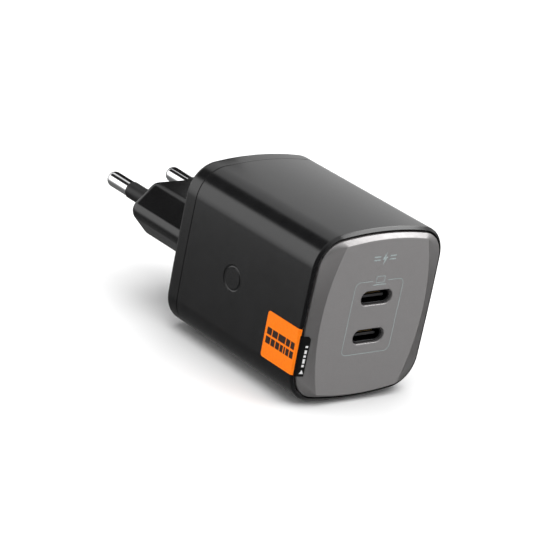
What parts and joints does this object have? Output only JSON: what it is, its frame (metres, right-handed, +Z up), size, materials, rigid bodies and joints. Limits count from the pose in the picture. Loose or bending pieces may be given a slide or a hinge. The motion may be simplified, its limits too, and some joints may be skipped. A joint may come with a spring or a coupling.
{
  "type": "usb wall charger",
  "caption": "Compact wall charger: a crowned box body with a fixed pin plug at the back and stacked USB-C ports in its bevelled front panel.",
  "frame": {"origin": "centre of the plug block's end face, midway between the pins", "axes": "+Y along the pins towards the wall, +Z up across the stacked ports, +X to the right seen from the front"},
  "size_m": [0.0402, 0.091, 0.043],
  "materials": {
    "shell_black": "satin moulded",
    "cover_black": "satin moulded",
    "panel_grey": "fine satin, metallic tint",
    "pin_nickel": "bright nickel plate",
    "sleeve_black": "matt moulded",
    "label_orange": "printed film",
    "label_black": "printed film",
    "port_steel": "drawn steel",
    "tongue_black": "moulded",
    "contact_gold": "gold plate",
    "strip_bronze": "rolled bronze",
    "wire_tin": "tinned",
    "board_green": "solder mask",
    "copper": "enamelled wire",
    "ferrite": "sintered ferrite",
    "bobbin_plastic": "moulded",
    "tape_yellow": "polyester tape",
    "film_amber": "polyimide film",
    "spreader_aluminium": "rolled sheet",
    "pad_grey": "soft silicone",
    "bung_rubber": "moulded",
    "capacitor_sleeve": "shrunk film",
    "capacitor_can": "drawn can",
    "box_yellow": "moulded box",
    "disc_blue": "dipped epoxy",
    "fuse_ceramic": "ceramic",
    "chip_black": "moulded epoxy",
    "chip_tan": "sintered ceramic"
  },
  "bodies": {
    "root": {"main_shell": "shell_black", "rear_cover": "cover_black", "front_panel": "panel_grey", "plug_pin_left": "pin_nickel", "plug_pin_right": "pin_nickel", "pin_sleeve_left": "sleeve_black", "pin_sleeve_right": "sleeve_black", "side_label": "label_orange", "label_tab": "label_black", "usb_receptacle_upper": "port_steel", "usb_receptacle_lower": "port_steel", "usb_tongue_upper": "tongue_black", "usb_tongue_lower": "tongue_black", "usb_contacts_upper": "contact_gold", "usb_contacts_lower": "contact_gold", "mains_contact_left": "strip_bronze", "mains_contact_right": "strip_bronze", "heat_spreader": "spreader_aluminium", "insulation_sheet": "film_amber", "main_board": "board_green", "output_board": "board_green", "upper_board": "board_green", "control_board": "board_green", "board_link_pins": "wire_tin", "transformer_core_lower": "ferrite", "transformer_core_upper": "ferrite", "transformer_bobbin": "bobbin_plastic", "transformer_winding": "copper", "transformer_tape": "tape_yellow", "transformer_pins": "wire_tin", "choke_core": "ferrite", "choke_windings": "copper", "choke_base": "bobbin_plastic", "x_capacitor": "box_yellow", "fuse_body": "fuse_ceramic", "fuse_caps": "wire_tin", "varistor": "disc_blue", "y_capacitor": "disc_blue", "bulk_capacitor_1": "capacitor_sleeve", "bulk_capacitor_2": "capacitor_sleeve", "bulk_capacitor_3": "capacitor_sleeve", "capacitor_bungs": "bung_rubber", "capacitor_leads": "wire_tin", "output_capacitors": "capacitor_can", "bridge_rectifier": "chip_black", "power_switch": "chip_black", "thermal_pad": "pad_grey", "optocoupler": "chip_black", "primary_controller": "chip_black", "rectifier_switch": "chip_black", "port_controllers": "chip_black", "small_parts": "chip_tan"}
  },
  "joints": []
}
